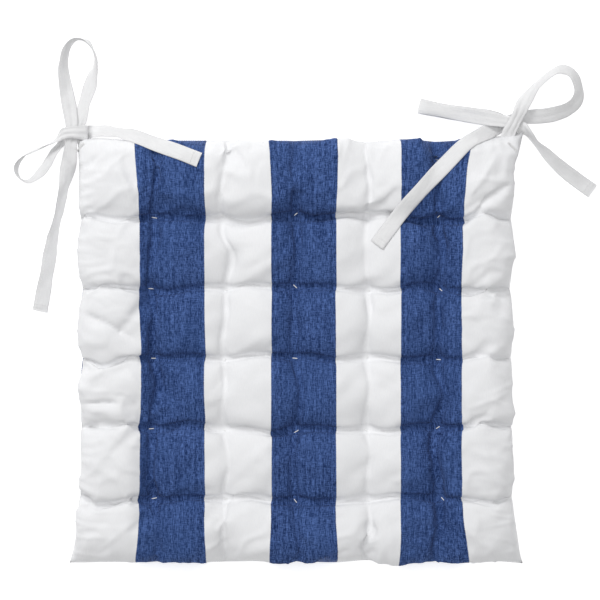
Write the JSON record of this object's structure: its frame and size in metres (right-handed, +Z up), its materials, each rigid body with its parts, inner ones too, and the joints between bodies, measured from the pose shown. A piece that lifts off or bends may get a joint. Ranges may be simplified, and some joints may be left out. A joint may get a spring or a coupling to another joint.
{
  "type": "chair seat pad",
  "caption": "Square tufted chair seat pad in a striped woven cover, with a pair of cotton tape ties tied in a bow at each back corner.",
  "frame": {"origin": "middle of the underside of the pad, on the surface it lies on", "axes": "+Z up out of the pad; +Y towards the back edge, which has the ties; +X to the right, seen from above with the ties away from the viewer"},
  "size_m": [0.5414, 0.4854, 0.0405],
  "materials": {
    "striped_cotton": "plain woven cotton with wide white and indigo stripes",
    "wadding": "loose polyester wadding",
    "tie_cotton": "white cotton tape, plain weave, folded and stitched",
    "white_thread": "twisted cotton thread"
  },
  "bodies": {
    "root": {"top_panel": "striped_cotton", "bottom_panel": "striped_cotton", "filling": "wadding", "edge_seam": "white_thread", "tuft_thread_1_1": "white_thread", "tuft_thread_1_2": "white_thread", "tuft_thread_1_3": "white_thread", "tuft_thread_1_4": "white_thread", "tuft_thread_1_5": "white_thread", "tuft_thread_2_1": "white_thread", "tuft_thread_2_2": "white_thread", "tuft_thread_2_3": "white_thread", "tuft_thread_2_4": "white_thread", "tuft_thread_2_5": "white_thread", "tuft_thread_3_1": "white_thread", "tuft_thread_3_2": "white_thread", "tuft_thread_3_3": "white_thread", "tuft_thread_3_4": "white_thread", "tuft_thread_3_5": "white_thread", "tuft_thread_4_1": "white_thread", "tuft_thread_4_2": "white_thread", "tuft_thread_4_3": "white_thread", "tuft_thread_4_4": "white_thread", "tuft_thread_4_5": "white_thread", "tuft_thread_5_1": "white_thread", "tuft_thread_5_2": "white_thread", "tuft_thread_5_3": "white_thread", "tuft_thread_5_4": "white_thread", "tuft_thread_5_5": "white_thread", "tie_left_upper": "tie_cotton", "tie_left_lower": "tie_cotton", "tie_right_upper": "tie_cotton", "tie_right_lower": "tie_cotton", "bartack_left": "white_thread", "bartack_right": "white_thread"}
  },
  "joints": []
}
